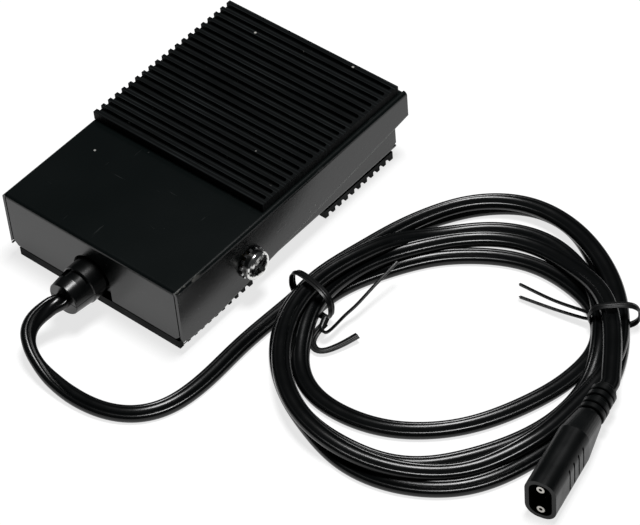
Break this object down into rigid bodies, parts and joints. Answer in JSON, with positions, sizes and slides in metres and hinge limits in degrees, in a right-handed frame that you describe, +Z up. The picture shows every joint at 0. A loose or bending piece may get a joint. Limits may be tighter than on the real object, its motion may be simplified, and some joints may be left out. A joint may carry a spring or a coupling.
{
  "type": "industrial foot switch",
  "caption": "Low foot switch with a folded black sheet-metal treadle on side screws, ribbed rubber mats, a snap switch inside and a coiled flat cord with a two-contact plug.",
  "frame": {"origin": "on the floor under the middle of the treadle's length and width, without the cord", "axes": "+X across the treadle towards the coiled cord, +Y from the cord end (toe) to the free end (heel), +Z up"},
  "size_m": [0.1981, 0.1431, 0.028],
  "materials": {
    "black_paint": "satin",
    "ribbed_rubber": "matte",
    "buffer_rubber": "matte",
    "bush_plastic": "satin",
    "cord_jacket": "gloss",
    "plug_plastic": "satin",
    "zinc_steel": "satin",
    "spring_steel": "satin",
    "contact_brass": "satin",
    "switch_plastic": "matte",
    "plunger_plastic": "gloss",
    "dark_core": "gloss",
    "light_core": "gloss",
    "sleeve_plastic": "matte",
    "tie_plastic": "gloss"
  },
  "bodies": {
    "base": {"base_pan": "black_paint", "toe_foot_mat": "ribbed_rubber", "heel_foot_mat": "ribbed_rubber", "pivot_bushes": "contact_brass", "pivot_screws": "zinc_steel", "star_washers": "zinc_steel", "clinch_nuts": "zinc_steel", "switch_bracket": "zinc_steel", "bracket_rivets": "zinc_steel", "switch_case": "switch_plastic", "switch_cover": "switch_plastic", "switch_terminals": "contact_brass", "switch_screws": "zinc_steel", "switch_nuts": "zinc_steel", "lever_pin": "zinc_steel", "spring_cup": "zinc_steel", "return_spring": "spring_steel", "bush_upper_half": "bush_plastic", "bush_lower_half": "bush_plastic", "cord_in_bush": "cord_jacket", "core_left": "dark_core", "core_right": "light_core", "solder_sleeves": "sleeve_plastic", "cord_lead": "cord_jacket", "cord_coil": "cord_jacket", "cord_tail": "cord_jacket", "plug_housing": "plug_plastic", "plug_insert": "plug_plastic", "plug_contacts": "contact_brass", "twist_tie_left": "tie_plastic", "twist_tie_right": "tie_plastic"},
    "treadle": {"treadle": "black_paint", "treadle_mat": "ribbed_rubber", "striker": "zinc_steel", "spring_stud": "zinc_steel", "stop_buffers": "buffer_rubber"},
    "lever": {"switch_lever": "zinc_steel"},
    "plunger": {"switch_plunger": "plunger_plastic"}
  },
  "joints": [
    {"name": "treadle_pivot", "type": "hinge", "parent": "base", "child": "treadle", "pos_m": [0, -0.0218, 0.0132], "axis": [-1, 0, 0], "range_deg": [0, 4], "stiffness_Nm_per_rad": 4, "springref_deg": -8.59, "deforming": ["return_spring"]},
    {"name": "lever_pivot", "type": "hinge", "parent": "base", "child": "lever", "pos_m": [0, -0.004, 0.0205], "axis": [-1, 0, 0], "range_deg": [0, 9.2]},
    {"name": "plunger_slide", "type": "slide", "parent": "base", "child": "plunger", "axis": [0, 0, -1], "range_m": [0, 0.0008]}
  ],
  "couplings": [
    {"joint": "lever_pivot", "follows": "treadle_pivot", "ratio": 2.25},
    {"joint": "plunger_slide", "follows": "treadle_pivot", "m_per_rad": 0.0112}
  ]
}
